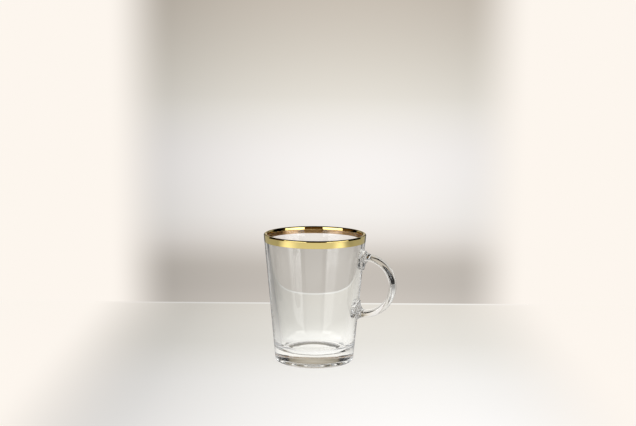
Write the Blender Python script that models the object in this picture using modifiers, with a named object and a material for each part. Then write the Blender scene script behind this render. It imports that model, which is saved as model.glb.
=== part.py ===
"""Glass tea mug: a tapered tumbler with a thick base, a looped handle fused to its wall, and a gilded rim.

Lengths are in metres and +Z is up. The origin is the centre of the mug's box, on the table that it stands on.
Outlines of turned pieces lie in the XZ plane, with X measured from the tumbler's axis.
"""

import math

import bmesh
import bpy
from mathutils import Matrix, Vector

# Tumbler: its wall runs straight from the table to the rim, and thickens towards a heavy floor
GLASS_HEIGHT = 0.0997
RIM_RADIUS = 0.0397
BASE_RADIUS = 0.0304
RIM_WALL = 0.0023
FOOT_WALL = 0.0062
FLOOR_THICKNESS = 0.0090
FLOOR_FILLET = 0.0085
LIP_ROUNDING = 0.43
HEEL_FILLET = 0.0022

# Underside: a flat ring carries the mug, round a shallow hollow with gentle sides
RING_WIDTH = 0.0032
HOLLOW_DEPTH = 0.0013
HOLLOW_SLOPE = 0.0053
HOLLOW_FILLET = 0.0110

# Gilding: a band outside the rim that wraps over the lip
BAND_HEIGHT = 0.0058
WRAP_HEIGHT = 0.0023
FILM_THICKNESS = 0.0002
FILM_CLEARANCE = 0.0001

# Handle: a flattened oval rod bent round part of a circle, whose two ends swell into discs on the wall
ARM_DROP = 0.0168
LOOP_RADIUS = 0.0222
LOOP_STANDOFF = 0.0031
ROD_THICKNESS = 0.0055
ROD_WIDTH = 0.0121
PAD_HEIGHT = 0.0156
PAD_WIDTH = 0.0172
PAD_THICKNESS = 0.0020
PAD_EDGE = 0.0009
PAD_FILLET = 0.0030
PAD_SHIFT = 0.0028
PAD_ROOT = 0.0012
JOINT_CLEARANCE = 0.0003

# The rod's section: where it is widest, from -1 inside the loop to 1 outside, and how square each side is
WIDEST = -0.25
OUTER_POWER = 2.0
INNER_POWER = 2.2

# Smoothness of the faceted surfaces
TURN_STEPS = 60
FILLET_STEPS = 4
LOOP_STEPS = 26
ROD_SIDES = 24
SHARP_ANGLE = math.radians(35)
AXIS_MERGE = 0.00001

LIP_FILLET = LIP_ROUNDING * RIM_WALL
OUTER_LEAN = math.atan2(RIM_RADIUS - BASE_RADIUS, GLASS_HEIGHT)
FLOOR_RADIUS = BASE_RADIUS + FLOOR_THICKNESS * math.tan(OUTER_LEAN) - FOOT_WALL
INNER_LEAN = math.atan2(RIM_RADIUS - RIM_WALL - FLOOR_RADIUS, GLASS_HEIGHT - FLOOR_THICKNESS)


def outer_wall(height, offset=0.0):
    """Radius of the tumbler's outer wall at a height, or of a surface that lies offset outside it."""
    return BASE_RADIUS + height * math.tan(OUTER_LEAN) + offset / math.cos(OUTER_LEAN)


def inner_wall(height, offset=0.0):
    """Radius of the tumbler's inner wall at a height, or of a surface that lies offset inside it."""
    return FLOOR_RADIUS + (height - FLOOR_THICKNESS) * math.tan(INNER_LEAN) - offset / math.cos(INNER_LEAN)


def rounded(corners):
    """Points through corners (x, z, fillet radius), each fillet an arc tangent to both sides."""
    points = []
    for index, (x, z, radius) in enumerate(corners):
        corner = Vector((x, z))
        if radius == 0:
            points.append(corner)
            continue
        before = (Vector(corners[index - 1][:2]) - corner).normalized()
        after = (Vector(corners[(index + 1) % len(corners)][:2]) - corner).normalized()
        half = before.angle(after) / 2
        centre = corner + (before + after).normalized() * radius / math.sin(half)
        start = corner + before * radius / math.tan(half) - centre
        sweep = start.angle_signed(corner + after * radius / math.tan(half) - centre)
        for step in range(FILLET_STEPS + 1):
            points.append(centre + Matrix.Rotation(-sweep * step / FILLET_STEPS, 2) @ start)
    return points


def tumbler_outline():
    """From the middle of the floor up the inside, over the lip, down the outside and under the base."""
    hollow_turn = math.atan2(HOLLOW_DEPTH, HOLLOW_SLOPE)
    hollow_radius = BASE_RADIUS - HEEL_FILLET - RING_WIDTH - HOLLOW_FILLET * math.tan(hollow_turn / 2)
    return rounded([
        (0, FLOOR_THICKNESS, 0),
        (FLOOR_RADIUS, FLOOR_THICKNESS, FLOOR_FILLET),
        (inner_wall(GLASS_HEIGHT), GLASS_HEIGHT, LIP_FILLET),
        (RIM_RADIUS, GLASS_HEIGHT, LIP_FILLET),
        (BASE_RADIUS, 0, HEEL_FILLET),
        (hollow_radius, 0, HOLLOW_FILLET),
        (hollow_radius - HOLLOW_SLOPE, HOLLOW_DEPTH, HOLLOW_FILLET),
        (0, HOLLOW_DEPTH, 0),
    ])


def lip_corners(offset):
    """Corners of the lip's outline, offset from the glass: inside end, over the top, outside end."""
    top = GLASS_HEIGHT + offset
    wrap_end = GLASS_HEIGHT - WRAP_HEIGHT
    band_end = GLASS_HEIGHT - BAND_HEIGHT
    return [
        (inner_wall(wrap_end, offset), wrap_end, 0),
        (inner_wall(top, offset), top, LIP_FILLET + offset),
        (outer_wall(top, offset), top, LIP_FILLET + offset),
        (outer_wall(band_end, offset), band_end, 0),
    ]


def gilding_outline():
    """A thin closed strip that follows the lip at a small clearance."""
    outside = rounded(lip_corners(FILM_CLEARANCE + FILM_THICKNESS))
    against_glass = rounded(lip_corners(FILM_CLEARANCE))
    return outside + against_glass[::-1]


def wall_envelope():
    """The tumbler's outer wall as a plain solid, grown by the clearance of the fused joints."""
    return [
        Vector((0, GLASS_HEIGHT)),
        Vector((outer_wall(GLASS_HEIGHT, JOINT_CLEARANCE), GLASS_HEIGHT)),
        Vector((outer_wall(0, JOINT_CLEARANCE), 0)),
        Vector((0, 0)),
    ]


def loop_centre():
    """Middle of the handle's circle, in the XZ plane."""
    height = GLASS_HEIGHT - ARM_DROP - LOOP_RADIUS
    return Vector((outer_wall(height) + LOOP_STANDOFF, height))


def pad_profile():
    """(distance from the wall, share of the pad's size) from the pad's root out along the rod."""
    rise = (PAD_HEIGHT - ROD_THICKNESS) / 2
    edge = rounded([
        (-PAD_ROOT, rise, 0),
        (PAD_THICKNESS, rise, PAD_EDGE),
        (PAD_THICKNESS, 0, PAD_FILLET),
        (PAD_THICKNESS + 2 * PAD_FILLET, 0, 0),
    ])
    return [(point.x, point.y / rise) for point in edge]


def pad_stations(side):
    """(x, z, turn of the section, share of the pad) from the upper (1) or lower (-1) pad's root."""
    centre = loop_centre()
    wall = outer_wall(centre.y + side * LOOP_RADIUS)
    stations = []
    for away, share in pad_profile():
        turn = side * math.acos(max(0.0, (wall + away - centre.x) / LOOP_RADIUS))
        height = centre.y + LOOP_RADIUS * math.sin(turn) - side * PAD_SHIFT * share
        stations.append((wall + away, height, turn, share))
    return stations


def handle_stations():
    """(x, z, turn of the section, share of the pad) from the upper pad round to the lower one."""
    centre = loop_centre()
    upper = pad_stations(1)
    lower = pad_stations(-1)
    first, last = upper[-1][2], lower[-1][2]
    loop = []
    for step in range(1, LOOP_STEPS):
        turn = first + (last - first) * step / LOOP_STEPS
        x = centre.x + LOOP_RADIUS * math.cos(turn)
        z = centre.y + LOOP_RADIUS * math.sin(turn)
        loop.append((x, z, turn, 0.0))
    return upper + loop + lower[::-1]


def signed_power(value, power):
    """A power of the value's size that keeps its sign."""
    return math.copysign(abs(value) ** power, value)


def section_point(turn, share):
    """(out, across) from -1 to 1 on the section, which becomes the pad's oval as the share goes to 1."""
    out, across = math.cos(turn), math.sin(turn)
    power = OUTER_POWER if out > 0 else INNER_POWER
    power += (2 - power) * share
    widest = WIDEST * (1 - share)
    reach = 1 - widest if out > 0 else 1 + widest
    return widest + signed_power(out, 2 / power) * reach, signed_power(across, 2 / power)


def handle_ring(x, z, turn, share):
    """One section, wrapped round the tumbler's axis and leaning with the wall where it is a pad."""
    half_height = (ROD_THICKNESS + (PAD_HEIGHT - ROD_THICKNESS) * share) / 2
    half_width = (ROD_WIDTH + (PAD_WIDTH - ROD_WIDTH) * share) / 2
    ring = []
    for side in range(ROD_SIDES):
        out, across = section_point(math.tau * side / ROD_SIDES, share)
        rise = out * half_height * math.sin(turn)
        radial = x + out * half_height * math.cos(turn) + rise * math.tan(OUTER_LEAN) * share
        width = across * half_width
        ring.append(Vector((math.sqrt(radial ** 2 - width ** 2), width, z + rise)))
    return ring


def box_centre():
    """Distance from the tumbler's axis to the middle of the whole mug's width."""
    handle_side = loop_centre().x + LOOP_RADIUS + ROD_THICKNESS / 2
    open_side = outer_wall(GLASS_HEIGHT, FILM_CLEARANCE + FILM_THICKNESS)
    return (handle_side - open_side) / 2


def principled(name, colour, roughness, metallic=0.0, transmission=0.0):
    """A material with the look of one piece."""
    material = bpy.data.materials.new(name)
    material.use_nodes = True
    shader = material.node_tree.nodes["Principled BSDF"]
    shader.inputs["Base Color"].default_value = (*colour, 1)
    shader.inputs["Roughness"].default_value = roughness
    shader.inputs["Metallic"].default_value = metallic
    shader.inputs["Transmission Weight"].default_value = transmission
    return material


def placed(name, mesh, axis, collection):
    """An object of that mesh on the tumbler's axis."""
    piece = bpy.data.objects.new(name, mesh)
    piece.parent = axis
    collection.objects.link(piece)
    return piece


def turned(name, outline, axis, collection, closed=False):
    """A piece turned from its outline about the tumbler's axis."""
    mesh = bpy.data.meshes.new(name)
    last = len(outline) if closed else len(outline) - 1
    edges = [(index, (index + 1) % len(outline)) for index in range(last)]
    mesh.from_pydata([(point.x, 0, point.y) for point in outline], edges, [])
    piece = placed(name, mesh, axis, collection)
    lathe = piece.modifiers.new("lathe", "SCREW")
    lathe.axis = "Z"
    lathe.angle = math.tau
    lathe.steps = TURN_STEPS
    lathe.render_steps = TURN_STEPS
    lathe.use_merge_vertices = True
    lathe.merge_threshold = AXIS_MERGE
    lathe.use_smooth_shade = True
    return piece


def lofted_mesh(name, rings):
    """A closed mesh through rings of points, capped at both ends."""
    loft = bmesh.new()
    sections = [[loft.verts.new(point) for point in ring] for ring in rings]
    for first, second in zip(sections, sections[1:]):
        for side in range(ROD_SIDES):
            after = (side + 1) % ROD_SIDES
            loft.faces.new((first[side], first[after], second[after], second[side]))
    loft.faces.new(sections[0])
    loft.faces.new(sections[-1])
    bmesh.ops.recalc_face_normals(loft, faces=loft.faces)
    mesh = bpy.data.meshes.new(name)
    loft.to_mesh(mesh)
    loft.free()
    mesh.shade_smooth()
    mesh.set_sharp_from_angle(angle=SHARP_ANGLE)
    return mesh


def make_tumbler(axis, parts):
    """The glass vessel."""
    tumbler = turned("tumbler", tumbler_outline(), axis, parts)
    tumbler.data.materials.append(principled("clear_glass", (0.95, 0.96, 0.95), 0.02, transmission=1.0))


def make_handle(axis, parts, cutters):
    """The glass handle, cut so that both pads seat on the tapered wall."""
    rings = [handle_ring(*station) for station in handle_stations()]
    handle = placed("handle", lofted_mesh("handle", rings), axis, parts)
    handle.data.materials.append(principled("handle_glass", (0.94, 0.95, 0.94), 0.03, transmission=1.0))
    wall = turned("wall_cutter", wall_envelope(), axis, cutters)
    wall.hide_render = True
    wall.display_type = "WIRE"
    seat = handle.modifiers.new("seat_on_wall", "BOOLEAN")
    seat.operation = "DIFFERENCE"
    seat.object = wall


def make_gilding(axis, parts):
    """The fired gold on the rim."""
    gilding = turned("gold_rim", gilding_outline(), axis, parts, closed=True)
    gilding.data.materials.append(principled("bright_gold", (0.83, 0.61, 0.24), 0.12, metallic=1.0))


def main():
    """Clears the scene and builds the mug."""
    for leftover in list(bpy.data.objects):
        bpy.data.objects.remove(leftover)
    parts = bpy.data.collections.new("tea_mug")
    cutters = bpy.data.collections.new("tea_mug_cutters")
    bpy.context.scene.collection.children.link(parts)
    bpy.context.scene.collection.children.link(cutters)
    axis = bpy.data.objects.new("tumbler_axis", None)
    axis.location = (-box_centre(), 0, 0)
    parts.objects.link(axis)
    make_tumbler(axis, parts)
    make_handle(axis, parts, cutters)
    make_gilding(axis, parts)


main()
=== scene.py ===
"""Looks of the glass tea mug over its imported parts: clear glass, a fused handle and a fired gold rim."""

import math

import bmesh
import bpy
from mathutils import Matrix, Vector


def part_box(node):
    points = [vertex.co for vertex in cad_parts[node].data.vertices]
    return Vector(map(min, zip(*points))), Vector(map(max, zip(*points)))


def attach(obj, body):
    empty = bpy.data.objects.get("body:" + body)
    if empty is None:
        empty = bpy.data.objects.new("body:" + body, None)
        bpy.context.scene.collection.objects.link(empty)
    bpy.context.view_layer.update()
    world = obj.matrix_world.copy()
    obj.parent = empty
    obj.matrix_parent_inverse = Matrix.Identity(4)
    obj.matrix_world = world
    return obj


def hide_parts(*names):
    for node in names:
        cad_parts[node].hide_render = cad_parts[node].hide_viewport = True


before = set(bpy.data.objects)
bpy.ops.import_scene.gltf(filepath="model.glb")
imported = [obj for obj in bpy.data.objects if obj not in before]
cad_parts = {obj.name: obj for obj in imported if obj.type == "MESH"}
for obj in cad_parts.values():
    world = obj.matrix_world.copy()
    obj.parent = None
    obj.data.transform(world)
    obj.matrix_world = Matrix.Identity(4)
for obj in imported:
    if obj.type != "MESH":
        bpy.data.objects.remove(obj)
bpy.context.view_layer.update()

# The tumbler, in metres from its axis and from the table
TUMBLER_LOW, TUMBLER_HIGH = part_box("tumbler")
AXIS = Vector(((TUMBLER_LOW.x + TUMBLER_HIGH.x) / 2, 0, 0))
GLASS_HEIGHT = TUMBLER_HIGH.z
RIM_RADIUS = 0.0397
BASE_RADIUS = 0.0304
RIM_WALL = 0.0023
FOOT_WALL = 0.0062
FLOOR_THICKNESS = 0.0090
FLOOR_FILLET = 0.0085
LIP_FILLET = 0.00102
HEEL_FILLET = 0.0022
RING_WIDTH = 0.0032
HOLLOW_DEPTH = 0.0018
HOLLOW_SLOPE = 0.0053
HOLLOW_FILLET = 0.0110

# The gold film over the lip
BAND_HEIGHT = 0.0058
WRAP_HEIGHT = 0.0023
FILM_GAP = 0.00002
FILM_THICKNESS = 0.00004

# The handle; its rod is widest at a share of its half height, and the powers shape its two halves
ARM_DROP = 0.0168
LOOP_RADIUS = 0.0222
LOOP_STANDOFF = 0.0031
ROD_THICKNESS = 0.0055
ROD_WIDTH = 0.0113
OUTER_POWER = 2.0
INNER_POWER = 2.2
PAD_POWER = 2
WIDEST = -0.25
PAD_HEIGHT = 0.0152
PAD_WIDTH = 0.0155
PAD_THICKNESS = 0.0015
PAD_EDGE = 0.0008
PAD_FILLET = 0.0045
PAD_SHIFT = 0.0028
PAD_ROOT = 0.0008

# How finely the mug is meshed
TURN_STEPS = 288
FILLET_STEPS = 14
ROD_SIDES = 64
LOOP_STEPS = 96
GUARD = 0.0001
SEAM_WELD = 0.000002
ON_AXIS = 1e-9

OUTER_LEAN = (RIM_RADIUS - BASE_RADIUS) / GLASS_HEIGHT
FLOOR_RADIUS = BASE_RADIUS + FLOOR_THICKNESS * OUTER_LEAN - FOOT_WALL
INNER_LEAN = (RIM_RADIUS - RIM_WALL - FLOOR_RADIUS) / (GLASS_HEIGHT - FLOOR_THICKNESS)

# Glass and gold: colours, waves as (noise scale, depth in metres), and gold as (colour, range of roughness)
GLASS_COLOUR = (0.99, 0.995, 0.99)
GLASS_IOR = 1.5
WAVE_STRETCH = (1, 1, 0.35)
WALL_WAVES = (55, 0.00006)
HANDLE_WAVES = (90, 0.000015)
BRIGHT_GOLD = ((0.93, 0.745, 0.29), 0.02, 0.06)
# The film's back seen through the glass: its duller real back, darkened further with painted shade
SHADED_BROWN_GOLD = ((0.52, 0.30, 0.12), 0.25, 0.35)
POLISH_SCALE = 260
GLASS_BOUNCES = 200

# The studio, in metres from the mug's axis on the table, with the camera on its -Y side
HANDLE_TURN = 12.0
CAMERA_SIDE = 0.0022
CAMERA_BACK = 0.9132
CAMERA_HEIGHT = 0.2400
CAMERA_PITCH = 7.754
CAMERA_ROLL = 0.385
CAMERA_LENS = 67.5
SENSOR_WIDTH = 36
STUDIO = Matrix.Translation(AXIS) @ Matrix.Rotation(math.radians(HANDLE_TURN), 4, "Z")

# The table and the wider floor under it; pairs are where a change begins and ends to both sides
TABLE_EDGE = 0.2105
TABLE_REACH = 0.50
TABLE_FRONT = -0.17
TABLE_COLOUR = (0.9, 0.89, 0.87, 1)
TABLE_ROUGHNESS = 0.6
TABLE_SHINE = 0.1
TABLE_GAIN = 1.08
SHADE_SHARE = 0.12
FLOOR_REACH = 3
FLOOR_DROP = 0.0005
TABLE_CENTRE = 0.068
TABLE_FALLOFF = 0.365
TABLE_MARGIN = (0.115, 0.22)

# The table seen through glass, with painted shade to the sides and to the front, and a painted pool (x, y,
# reach) of light round the base
THROUGH_CENTRE = 0.06
THROUGH_REACH = 0.22
THROUGH_FLOOR = 0.34
THROUGH_GAIN = 0.99
CAUSTIC = (0.008, 0.016, 0.105)
CAUSTIC_GAIN = 0.34

# The table seen in a mirror, with a painted pool of light in front of each soft box and painted shade to the
# sides and behind the mug
LEFT_POOL = (-0.28, -0.13, 0.18)
RIGHT_POOL = (0.25, -0.165, 0.12)
POOL_GAIN = 0.55
MIRROR_LEVEL = 0.70
MIRROR_FADE = 0.40
FADING_SIDES = (0.27, 0.36)
BEHIND_DEPTH = 0.05
BEHIND_LEVEL = 0.20
ASIDE = (0.12, 0.18)
ASIDE_LEVEL = 0.38

# The backdrop, darker toward its top and, in a mirror, darker to the sides: painted shade
BACKDROP = 1.0
BACKDROP_HALF = 1.5
BACKDROP_LOW = -1
BACKDROP_TOP = 0.7
BACKDROP_CENTRE = 0.063
BACKDROP_FALLOFF = 0.62
BACKDROP_MARGIN = (0.23, 0.34)
BENT_FALLOFF = 1.5
DARK_SIDES = (0.06, 0.22)
SIDE_LEVEL = 0.10
FAR_SIDES = (0.45, 0.60)
FAR_LEVEL = 0.40

# The soft boxes: azimuth, elevation, distance, width, height and radiance. The start, blur and plateau are
# shares of the half width, the rise, full and glint are shares of the height, and the rest are levels.
LEFT_BOX = (-46, 8, 1.0, 0.975, 0.90, 3.1)
RIGHT_BOX = (53, 8, 1.0, 0.975, 0.90, 3.4)
BOX_START = 0.46
BOX_BLUR = 0.06
BOX_PLATEAU = -0.5
BOX_EDGE = 0.2
BOX_RISE = -0.30
BOX_FULL = -0.08
BOX_LOW = 0.5
GLINT_START = -0.04
GLINT_BLUR = 0.05
GLINT_LEVEL = 0.8
DEEP_LEVEL = 0.6

# Between one reflection and two
REFLECTED_AGAIN = 1.5

# The room, by direction: parts of a unit vector, or the slope of the strip of ceiling
ROOM_LEVEL = 0.01
FRONT_LEVEL = 0.55
FRONT = (0.1, -0.6)
STRIP_LOW = 1.15
STRIP_HIGH = 1.95
STRIP_BLUR = 0.15
STRIP_SIDE = (0.0, 0.1)
LEAST_DEPTH = 0.01
CEILING = (0.55, 0.49, 0.41, 1)
ABOVE = (0.90, 0.95)
ZENITH = (0.48, 0.41, 0.31, 1)
LEFT = (-0.75, -0.85)
LEFT_GLOW = 0.7
WARM_HEIGHT = (0.60, 0.30)
WARM_DEPTH = (0.2, -0.2)
WARM_ROOM = (0.09, 0.045, 0.015, 1)


def outer_wall(height, offset=0.0):
    return BASE_RADIUS + height * OUTER_LEAN + offset * math.hypot(1, OUTER_LEAN)


def inner_wall(height, offset=0.0):
    return FLOOR_RADIUS + (height - FLOOR_THICKNESS) * INNER_LEAN - offset * math.hypot(1, INNER_LEAN)


def rounded(corners):
    """Points through corners (x, z, fillet radius), each fillet an arc tangent to both sides.

    A guard point just past each end of an arc keeps the smooth shading of the straight sides true.
    """
    points = []
    for index, (x, z, radius) in enumerate(corners):
        corner = Vector((x, z))
        if radius == 0:
            points.append(corner)
            continue
        before = (Vector(corners[index - 1][:2]) - corner).normalized()
        after = (Vector(corners[(index + 1) % len(corners)][:2]) - corner).normalized()
        half = before.angle(after) / 2
        centre = corner + (before + after).normalized() * radius / math.sin(half)
        start = corner + before * radius / math.tan(half) - centre
        sweep = start.angle_signed(corner + after * radius / math.tan(half) - centre)
        points.append(corner + before * (radius / math.tan(half) + GUARD))
        for step in range(FILLET_STEPS + 1):
            points.append(centre + Matrix.Rotation(-sweep * step / FILLET_STEPS, 2) @ start)
        points.append(corner + after * (radius / math.tan(half) + GUARD))
    return points


def tumbler_outline():
    """From the middle of the floor over the lip and the heel to the middle of the hollow underneath."""
    hollow_turn = math.atan2(HOLLOW_DEPTH, HOLLOW_SLOPE)
    hollow_radius = BASE_RADIUS - HEEL_FILLET - RING_WIDTH - HOLLOW_FILLET * math.tan(hollow_turn / 2)
    return rounded([
        (0, FLOOR_THICKNESS, 0),
        (FLOOR_RADIUS, FLOOR_THICKNESS, FLOOR_FILLET),
        (inner_wall(GLASS_HEIGHT), GLASS_HEIGHT, LIP_FILLET),
        (RIM_RADIUS, GLASS_HEIGHT, LIP_FILLET),
        (BASE_RADIUS, 0, HEEL_FILLET),
        (hollow_radius, 0, HOLLOW_FILLET),
        (hollow_radius - HOLLOW_SLOPE, HOLLOW_DEPTH, HOLLOW_FILLET),
        (0, HOLLOW_DEPTH, 0),
    ])


def lip_outline(offset):
    """From the gold's inner edge over the lip to its outer edge, at a distance from the glass."""
    top = GLASS_HEIGHT + offset
    wrap_end = GLASS_HEIGHT - WRAP_HEIGHT
    band_end = GLASS_HEIGHT - BAND_HEIGHT
    return rounded([
        (inner_wall(wrap_end, offset), wrap_end, 0),
        (inner_wall(wrap_end + GUARD, offset), wrap_end + GUARD, 0),
        (inner_wall(top, offset), top, LIP_FILLET + offset),
        (outer_wall(top, offset), top, LIP_FILLET + offset),
        (outer_wall(band_end + GUARD, offset), band_end + GUARD, 0),
        (outer_wall(band_end, offset), band_end, 0),
    ])


def turned(outline, closed=False):
    """A mesh turned about the tumbler's axis from an outline that runs down its outer side."""
    made = bmesh.new()
    rings = []
    for point in outline:
        if point.x < ON_AXIS:
            rings.append([made.verts.new((0, 0, point.y))] * TURN_STEPS)
            continue
        ring = []
        for step in range(TURN_STEPS):
            angle = math.tau * step / TURN_STEPS
            ring.append(made.verts.new((point.x * math.cos(angle), point.x * math.sin(angle), point.y)))
        rings.append(ring)
    if closed:
        rings.append(rings[0])
    for upper, lower in zip(rings, rings[1:]):
        for step in range(TURN_STEPS):
            after = (step + 1) % TURN_STEPS
            corners = [upper[step], lower[step], lower[after], upper[after]]
            made.faces.new(list(dict.fromkeys(corners)))
    return made


def loop_centre():
    height = GLASS_HEIGHT - ARM_DROP - LOOP_RADIUS
    return Vector((outer_wall(height) + LOOP_STANDOFF, height))


def pad_profile():
    """(distance from the wall, share of the pad's size) from the pad's root over its edge to the rod."""
    rise = (PAD_HEIGHT - ROD_THICKNESS) / 2
    edge = rounded([
        (-PAD_ROOT, rise, 0),
        (PAD_THICKNESS, rise, PAD_EDGE),
        (PAD_THICKNESS, 0, PAD_FILLET),
        (PAD_THICKNESS + PAD_FILLET + 2 * GUARD, 0, 0),
    ])
    return [(point.x, point.y / rise) for point in edge]


def handle_path():
    """The centre line from the upper pad to the lower one.

    Each point is (x, z, turn of the section, share of the pad).
    """
    centre = loop_centre()

    def pad(side):
        wall = outer_wall(centre.y + side * LOOP_RADIUS)
        for away, share in pad_profile():
            turn = side * math.acos(max(0.0, (wall + away - centre.x) / LOOP_RADIUS))
            height = centre.y + LOOP_RADIUS * math.sin(turn) - side * PAD_SHIFT * share
            yield wall + away, height, turn, share

    upper, lower = list(pad(1)), list(pad(-1))
    first, last = upper[-1][2], lower[-1][2]
    loop = []
    for step in range(1, LOOP_STEPS):
        turn = first + (last - first) * step / LOOP_STEPS
        out = centre.x + LOOP_RADIUS * math.cos(turn)
        loop.append((out, centre.y + LOOP_RADIUS * math.sin(turn), turn, 0.0))
    return upper + loop + lower[::-1]


def signed_power(value, power):
    return math.copysign(abs(value) ** power, value)


def section_point(turn, share):
    """(out, across) from -1 to 1 on the rod's section, which is the pad's oval where the share is 1."""
    out, across = math.cos(turn), math.sin(turn)
    power = OUTER_POWER if out > 0 else INNER_POWER
    power += (PAD_POWER - power) * share
    widest = WIDEST * (1 - share)
    reach = 1 - widest if out > 0 else 1 + widest
    return widest + signed_power(out, 2 / power) * reach, signed_power(across, 2 / power)


def swept_handle():
    """The rod with both pads wrapped round the wall and rooted in it."""
    made = bmesh.new()
    rings = []
    for x, z, turn, share in handle_path():
        half_height = (ROD_THICKNESS + (PAD_HEIGHT - ROD_THICKNESS) * share) / 2
        half_width = (ROD_WIDTH + (PAD_WIDTH - ROD_WIDTH) * share) / 2
        ring = []
        for side in range(ROD_SIDES):
            out, across = section_point(math.tau * side / ROD_SIDES, share)
            rise = out * half_height * math.sin(turn)
            radial = x + out * half_height * math.cos(turn) + rise * OUTER_LEAN * share
            width = across * half_width
            ring.append(made.verts.new((math.sqrt(radial ** 2 - width ** 2), width, z + rise)))
        rings.append(ring)
    for first, second in zip(rings, rings[1:]):
        for side in range(ROD_SIDES):
            after = (side + 1) % ROD_SIDES
            made.faces.new((first[side], first[after], second[after], second[side]))
    made.faces.new(rings[0][::-1])
    made.faces.new(rings[-1])
    bmesh.ops.recalc_face_normals(made, faces=made.faces)
    return made


def as_object(name, made, *materials):
    mesh = bpy.data.meshes.new(name)
    made.to_mesh(mesh)
    made.free()
    for material in materials:
        mesh.materials.append(material)
    mesh.shade_smooth()
    piece = bpy.data.objects.new(name, mesh)
    piece.location = AXIS
    bpy.context.scene.collection.objects.link(piece)
    return piece


class Tree:
    """The nodes of a material or of the world, each added, set and linked in one call."""

    def __init__(self, owner):
        owner.use_nodes = True
        self.nodes = owner.node_tree.nodes
        self.links = owner.node_tree.links

    def put(self, node, socket, value):
        if isinstance(value, bpy.types.NodeSocket):
            self.links.new(value, node.inputs[socket])
        else:
            node.inputs[socket].default_value = value

    def add(self, kind, inputs, **settings):
        node = self.nodes.new("ShaderNode" + kind)
        for name, value in settings.items():
            setattr(node, name, value)
        for socket, value in inputs.items():
            self.put(node, socket, value)
        return node

    def place(self, kind="Object"):
        return self.nodes.new("ShaderNodeTexCoord").outputs[kind]

    def reckon(self, operation, first, second=0.0):
        return self.add("Math", {0: first, 1: second}, operation=operation).outputs[0]

    def blend(self, way, share, first, second):
        """Two colours mixed, by the Mix node's sockets for colours."""
        mixed = self.add("Mix", {0: share, 6: first, 7: second}, data_type="RGBA", blend_type=way)
        return mixed.outputs[2]

    def multiply(self, first, second):
        return self.blend("MULTIPLY", 1.0, first, second)

    def along(self, axis):
        return self.add("SeparateXYZ", {0: self.place()}).outputs[axis]

    def span(self, value, start, end, **settings):
        """0 up to the start, 1 from the end on."""
        inputs = {"Value": value, "From Min": start, "From Max": end}
        return self.add("MapRange", inputs, **settings).outputs["Result"]

    def ramp(self, axis, stops, easing="LINEAR"):
        """Colours along one of the object's axes, each stop a (place, colour)."""
        low, high = stops[0][0], stops[-1][0]
        ramp = self.add("ValToRGB", {"Fac": self.span(self.along(axis), low, high)})
        ramp.color_ramp.interpolation = easing
        elements = ramp.color_ramp.elements
        while len(elements) < len(stops):
            elements.new(0.5)
        for element, (place, colour) in zip(elements, stops):
            element.position = (place - low) / (high - low)
            element.color = colour
        return ramp.outputs["Color"]

    def falloff(self, centre, reach):
        """1 at the centre, less to both sides along X, 0 at the reach and beyond."""
        share = self.reckon("DIVIDE", self.reckon("SUBTRACT", self.along("X"), centre), reach)
        square = self.reckon("MULTIPLY", share, share)
        return self.reckon("MAXIMUM", self.reckon("SUBTRACT", 1.0, square), 0.0)

    def beyond(self, centre, start, end):
        """0 within the start on both sides of the centre along X, 1 past the end."""
        away = self.reckon("ABSOLUTE", self.reckon("SUBTRACT", self.along("X"), centre))
        return self.span(away, start, end, interpolation_type="SMOOTHSTEP")

    def pool(self, x, y, reach):
        """1 at a spot on the table, 0 at the reach and beyond."""
        away = self.add("VectorMath", {0: self.place(), 1: (x, y, 0)}, operation="DISTANCE")
        inputs = {"Value": away.outputs["Value"], "From Max": reach, "To Min": 1.0, "To Max": 0.0}
        return self.add("MapRange", inputs, interpolation_type="SMOOTHSTEP").outputs["Result"]

    def seen(self):
        """Whether a ray is the camera's own, comes off a mirror, or comes off a mirror or through glass."""
        path = self.nodes.new("ShaderNodeLightPath").outputs
        indirect = path["Is Glossy Ray"]
        mirror = self.reckon("MINIMUM", indirect, path["Is Reflection Ray"])
        return path["Is Camera Ray"], mirror, indirect

    def emit(self, colour, strength=1.0):
        return self.add("Emission", {"Color": colour, "Strength": strength}).outputs[0]

    def show(self, shader):
        self.put(self.nodes["Material Output"], "Surface", shader)


def glass(name, wave_scale, wave_depth):
    """Clear glass with the faint unevenness of hot-worked ware."""
    material = bpy.data.materials.new(name)
    tree = Tree(material)
    shader = tree.nodes["Principled BSDF"]
    shader.inputs["Base Color"].default_value = (*GLASS_COLOUR, 1)
    shader.inputs["Roughness"].default_value = 0.0
    shader.inputs["IOR"].default_value = GLASS_IOR
    shader.inputs["Transmission Weight"].default_value = 1.0
    stretch = tree.add("Mapping", {"Vector": tree.place(), "Scale": WAVE_STRETCH})
    waves = tree.add("TexNoise", {"Vector": stretch.outputs["Vector"], "Scale": wave_scale, "Detail": 1.0})
    bump = tree.add("Bump", {"Height": waves.outputs["Fac"], "Strength": 1.0, "Distance": wave_depth})
    tree.put(shader, "Normal", bump.outputs["Normal"])
    return material


def gold(name, colour, smoothest, roughest):
    """Fired gold whose polish varies finely."""
    material = bpy.data.materials.new(name)
    tree = Tree(material)
    shader = tree.nodes["Principled BSDF"]
    shader.inputs["Base Color"].default_value = (*colour, 1)
    shader.inputs["Metallic"].default_value = 1.0
    noise = tree.add("TexNoise", {"Vector": tree.place(), "Scale": POLISH_SCALE})
    rough = tree.add("MapRange", {"Value": noise.outputs["Fac"], "To Min": smoothest, "To Max": roughest})
    tree.put(shader, "Roughness", rough.outputs["Result"])
    return material


def srgb(*levels):
    """A colour in linear light from the levels of a picture."""
    out = []
    for level in levels:
        share = level / 255
        out.append(share / 12.92 if share <= 0.04045 else ((share + 0.055) / 1.055) ** 2.4)
    return (*out, 1)


def grey(level):
    return (level, level, level, 1)


PAPER = srgb(253, 246, 238)
BLACK = grey(0.0)
WHITE = grey(1.0)


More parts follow.
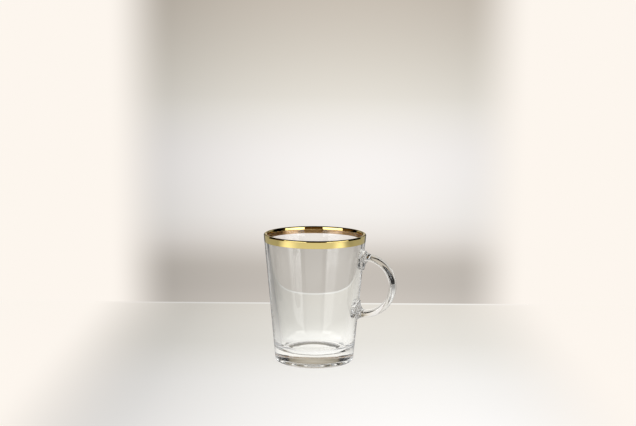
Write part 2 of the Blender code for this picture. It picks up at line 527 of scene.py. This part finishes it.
def sheet(name, corners, material):
    mesh = bpy.data.meshes.new(name)
    mesh.from_pydata(corners, [], [(0, 1, 2, 3)])
    mesh.materials.append(material)
    piece = bpy.data.objects.new(name, mesh)
    piece.matrix_world = STUDIO
    bpy.context.scene.collection.objects.link(piece)
    return piece


def flat(x, front, back, height):
    return [(-x, front, height), (x, front, height), (x, back, height), (-x, back, height)]


def emitter(name):
    """A material whose tree has no shader yet."""
    material = bpy.data.materials.new(name)
    tree = Tree(material)
    tree.nodes.remove(tree.nodes["Principled BSDF"])
    return material, tree


def make_table():
    """A glowing table that keeps part of its shadows, seen straight, through glass, or in a mirror."""
    material = bpy.data.materials.new("table_white")
    tree = Tree(material)
    shader = tree.nodes["Principled BSDF"]
    shader.inputs["Base Color"].default_value = TABLE_COLOUR
    shader.inputs["Roughness"].default_value = TABLE_ROUGHNESS
    shader.inputs["Specular IOR Level"].default_value = TABLE_SHINE
    # Painted light and shade on the table seen straight: lighter to the front, darker to the back and sides,
    # with a painted highlight just inside the back edge
    lit = tree.ramp("Y", [
        (TABLE_FRONT, srgb(253, 251, 249)),
        (-0.064, srgb(246, 244, 241)),
        (0.055, srgb(232, 229, 222)),
        (TABLE_EDGE - 0.007, srgb(225, 220, 211)),
        (TABLE_EDGE - 0.005, srgb(242, 240, 235)),
    ])
    straight = tree.multiply(lit, tree.falloff(TABLE_CENTRE, TABLE_FALLOFF))
    straight = tree.blend("MIX", tree.beyond(CAMERA_SIDE, *TABLE_MARGIN), straight, PAPER)

    # Painted shade to the sides and the front, and a painted pool of light round the base in place of a
    # caustic
    spread = tree.reckon("MAXIMUM", tree.falloff(THROUGH_CENTRE, THROUGH_REACH), THROUGH_FLOOR)
    through = tree.multiply(lit, tree.reckon("MULTIPLY", spread, THROUGH_GAIN))
    front = tree.ramp("Y", [(-0.6, grey(0.31)), (-0.30, grey(0.70)), (TABLE_FRONT, WHITE)])
    through = tree.multiply(through, front)
    caustic = tree.reckon("MULTIPLY", tree.pool(*CAUSTIC), CAUSTIC_GAIN)
    through = tree.blend("ADD", 1.0, through, caustic)

    # Painted light and shade seen in a mirror: a pool of light before each soft box, less light to the sides,
    # and dim greys behind the mug
    pools = tree.reckon("ADD", tree.pool(*LEFT_POOL), tree.pool(*RIGHT_POOL))
    painted_light_in_mirror = tree.reckon("ADD", tree.reckon("MULTIPLY", pools, POOL_GAIN), MIRROR_LEVEL)
    sides = tree.reckon("MULTIPLY", tree.beyond(0, *FADING_SIDES), MIRROR_FADE)
    painted_light_in_mirror = tree.reckon("SUBTRACT", painted_light_in_mirror, sides)
    behind = tree.ramp("Y", [(-BEHIND_DEPTH, BLACK), (BEHIND_DEPTH, WHITE)])
    painted_shade_behind = tree.blend("MIX", tree.beyond(0, *ASIDE), grey(BEHIND_LEVEL), grey(ASIDE_LEVEL))
    painted_light_in_mirror = tree.blend("MIX", behind, painted_light_in_mirror, painted_shade_behind)

    camera, mirror, indirect = tree.seen()
    colour = tree.blend("MIX", camera, through, straight)
    colour = tree.blend("MIX", mirror, colour, painted_light_in_mirror)
    share = tree.reckon("MULTIPLY", tree.reckon("MAXIMUM", camera, indirect), 1 - SHADE_SHARE)
    glow = tree.emit(colour, TABLE_GAIN)
    tree.show(tree.add("MixShader", {0: share, 1: shader.outputs[0], 2: glow}).outputs[0])
    sheet("table", flat(TABLE_REACH, -TABLE_REACH, TABLE_EDGE, 0), material)
    floor = sheet("floor", flat(FLOOR_REACH, -FLOOR_REACH, TABLE_EDGE, -FLOOR_DROP), material)
    floor.visible_glossy = False
    floor.visible_transmission = False
    floor.visible_diffuse = False
    floor.visible_shadow = False


def make_backdrop():
    """A glowing backdrop, seen straight, bent by glass, or in a mirror."""
    material, tree = emitter("backdrop_paper")
    lit = tree.ramp("Z", [
        (-0.168, srgb(204, 197, 189)),
        (-0.133, srgb(197, 190, 182)),
        (-0.100, srgb(204, 197, 189)),
        (-0.066, srgb(229, 223, 217)),
        (-0.025, srgb(244, 240, 236)),
        (0.080, srgb(246, 242, 239)),
        (0.167, srgb(229, 224, 215)),
        (0.324, srgb(201, 192, 180)),
    ], "CARDINAL")
    lit = tree.multiply(lit, tree.falloff(BACKDROP_CENTRE, BACKDROP_FALLOFF))
    straight = tree.blend("MIX", tree.beyond(CAMERA_SIDE, *BACKDROP_MARGIN), lit, PAPER)
    bent = tree.ramp("Z", [
        (-0.168, srgb(196, 189, 181)),
        (-0.125, srgb(190, 183, 175)),
        (-0.105, srgb(215, 208, 201)),
        (-0.085, srgb(240, 233, 227)),
        (-0.031, srgb(244, 240, 236)),
        (0.101, srgb(243, 238, 232)),
        (0.190, srgb(238, 231, 220)),
        (0.235, srgb(206, 197, 181)),
        (0.290, srgb(142, 132, 112)),
        (0.450, srgb(132, 122, 100)),
        (BACKDROP_TOP, srgb(70, 62, 50)),
    ])
    bent = tree.multiply(bent, tree.falloff(BACKDROP_CENTRE, BENT_FALLOFF))
    far = tree.beyond(CAMERA_SIDE, *FAR_SIDES)
    mirrored = tree.blend("MIX", tree.beyond(CAMERA_SIDE, *DARK_SIDES), bent, grey(SIDE_LEVEL))
    mirrored = tree.blend("MIX", far, mirrored, grey(FAR_LEVEL))
    bent = tree.blend("MIX", far, bent, BLACK)
    camera, mirror = tree.seen()[:2]
    colour = tree.blend("MIX", mirror, bent, mirrored)
    tree.show(tree.emit(tree.blend("MIX", camera, colour, straight)))
    sheet("backdrop", [
        (-BACKDROP_HALF, BACKDROP, BACKDROP_LOW),
        (BACKDROP_HALF, BACKDROP, BACKDROP_LOW),
        (BACKDROP_HALF, BACKDROP, BACKDROP_TOP),
        (-BACKDROP_HALF, BACKDROP, BACKDROP_TOP),
    ], material)


def soft_box(name, azimuth, elevation, distance, width, height, radiance):
    """A soft box that faces the mug, brightest at its upper part and at the side next to the camera.

    The azimuth is measured from the camera's side, to the right. A ray off a mirror sees the upper part only,
    over the full width, and nothing after a second reflection. A ray out of the glass after two or more
    reflections sees the box dimmed.
    """
    material, tree = emitter(name)
    inner, outer = math.copysign(width / 2, -azimuth), math.copysign(width / 2, azimuth)
    across = tree.ramp("X", sorted([
        (inner, BLACK),
        (inner * (BOX_START + BOX_BLUR), BLACK),
        (inner * BOX_START, WHITE),
        (inner * BOX_PLATEAU, WHITE),
        (outer, grey(BOX_EDGE)),
    ]))
    rise = tree.ramp("Y", [
        (-height / 2, BLACK),
        (height * BOX_RISE, grey(BOX_LOW)),
        (height * BOX_FULL, WHITE),
        (height / 2, WHITE),
    ])
    glint = tree.ramp("Y", [
        (height * GLINT_START, BLACK),
        (height * (GLINT_START + GLINT_BLUR), grey(GLINT_LEVEL)),
    ])
    mirror = tree.seen()[1]
    glow = tree.blend("MIX", mirror, tree.multiply(across, rise), glint)
    reflections = tree.nodes.new("ShaderNodeLightPath").outputs["Glossy Depth"]
    again = tree.reckon("GREATER_THAN", reflections, REFLECTED_AGAIN)
    dimmed = tree.blend("MIX", mirror, grey(DEEP_LEVEL), BLACK)
    glow = tree.blend("MULTIPLY", again, glow, dimmed)
    tree.show(tree.emit(glow, radiance))
    a, e = math.radians(azimuth), math.radians(elevation)
    away = Vector((math.sin(a) * math.cos(e), -math.cos(a) * math.cos(e), math.sin(e)))
    middle = Vector((0, 0, GLASS_HEIGHT / 2))
    facing = away.to_track_quat("Z", "Y").to_matrix().to_4x4()
    box = sheet(name, flat(width / 2, -height / 2, height / 2, 0), material)
    box.matrix_world = STUDIO @ Matrix.Translation(middle + away * distance) @ facing
    box.visible_camera = False


def make_room():
    """A dim room with a pale strip of ceiling, warm in a mirror, and pale to the camera past the backdrop."""
    world = bpy.data.worlds.new("studio")
    bpy.context.scene.world = world
    tree = Tree(world)
    side = tree.add("SeparateXYZ", {0: tree.place("Generated")}).outputs
    front = tree.reckon("MULTIPLY", tree.span(side["Y"], *FRONT), FRONT_LEVEL)
    dim = tree.reckon("ADD", front, ROOM_LEVEL)
    for axis, reach, colour in (("Z", ABOVE, ZENITH), ("X", LEFT, grey(LEFT_GLOW))):
        dim = tree.blend("MIX", tree.span(side[axis], *reach), dim, colour)
    slope = tree.reckon("DIVIDE", side["Z"], tree.reckon("MAXIMUM", side["Y"], LEAST_DEPTH))
    rising = tree.span(slope, STRIP_LOW - STRIP_BLUR, STRIP_LOW)
    falling = tree.span(slope, STRIP_HIGH + STRIP_BLUR, STRIP_HIGH)
    right = tree.span(side["X"], *STRIP_SIDE)
    strip = tree.reckon("MULTIPLY", right, tree.reckon("MULTIPLY", rising, falling))
    dim = tree.blend("MIX", strip, dim, CEILING)
    low, near = tree.span(side["Z"], *WARM_HEIGHT), tree.span(side["Y"], *WARM_DEPTH)
    brown = tree.blend("MIX", tree.reckon("MULTIPLY", low, near), BLACK, WARM_ROOM)
    camera, mirror = tree.seen()[:2]
    level = tree.blend("MIX", mirror, dim, brown)
    tree.put(tree.nodes["Background"], "Color", tree.blend("MIX", camera, level, PAPER))


def make_camera():
    data = bpy.data.cameras.new("camera")
    data.sensor_width = SENSOR_WIDTH
    data.lens = CAMERA_LENS
    camera = bpy.data.objects.new("camera", data)
    spot = Matrix.Translation((CAMERA_SIDE, -CAMERA_BACK, CAMERA_HEIGHT))
    tilt = Matrix.Rotation(math.radians(90 - CAMERA_PITCH), 4, "X")
    roll = Matrix.Rotation(math.radians(CAMERA_ROLL), 4, "Z")
    camera.matrix_world = STUDIO @ spot @ tilt @ roll
    bpy.context.scene.collection.objects.link(camera)
    bpy.context.scene.camera = camera


def make_glass():
    """The tumbler and the handle, fused into one body of glass and then parted by material."""
    clear, fused = glass("clear_glass", *WALL_WAVES), glass("handle_glass", *HANDLE_WAVES)
    whole = as_object("whole_glass", turned(tumbler_outline()), clear, fused)
    rod = as_object("rod", swept_handle(), clear, fused)
    for face in rod.data.polygons:
        face.material_index = 1
    union = whole.modifiers.new("fuse", "BOOLEAN")
    union.operation = "UNION"
    union.object = rod
    bpy.context.view_layer.update()
    graph = bpy.context.evaluated_depsgraph_get()
    fused_mesh = bpy.data.meshes.new_from_object(whole.evaluated_get(graph))
    for index, (name, material, node, slot) in enumerate((
        ("tumbler_glass", clear, "tumbler", "clear_glass"),
        ("handle_rod", fused, "handle", "handle_glass"),
    )):
        part = bmesh.new()
        part.from_mesh(fused_mesh)
        bmesh.ops.remove_doubles(part, verts=part.verts, dist=SEAM_WELD)
        others = [face for face in part.faces if face.material_index != index]
        bmesh.ops.delete(part, geom=others, context="FACES")
        for face in part.faces:
            face.material_index = 0
        piece = as_object(name, part, material)
        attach(piece, "root")
        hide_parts(node)
    for scrap in (whole, rod):
        bpy.data.objects.remove(scrap)


def make_gold():
    """A thin closed film over the lip, bright outside and brown where it shows through the glass, that brown
    partly the film's duller back and partly painted shade.
    """
    outside = lip_outline(FILM_GAP + FILM_THICKNESS)
    against_glass = lip_outline(FILM_GAP)
    bright, brown = gold("bright_gold", *BRIGHT_GOLD), gold("shaded_brown_gold", *SHADED_BROWN_GOLD)
    band = as_object("gold_band", turned(outside + against_glass[::-1], closed=True), bright, brown)
    for face in band.data.polygons:
        face.material_index = int(face.index >= len(outside) * TURN_STEPS)
    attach(band, "root")
    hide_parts("gold_rim")


light_paths = bpy.context.scene.cycles
light_paths.max_bounces = GLASS_BOUNCES
light_paths.glossy_bounces = GLASS_BOUNCES
light_paths.transmission_bounces = GLASS_BOUNCES
bpy.context.scene.view_settings.view_transform = "Standard"
make_table()
make_backdrop()
soft_box("softbox_left", *LEFT_BOX)
soft_box("softbox_right", *RIGHT_BOX)
make_room()
make_camera()
make_glass()
make_gold()
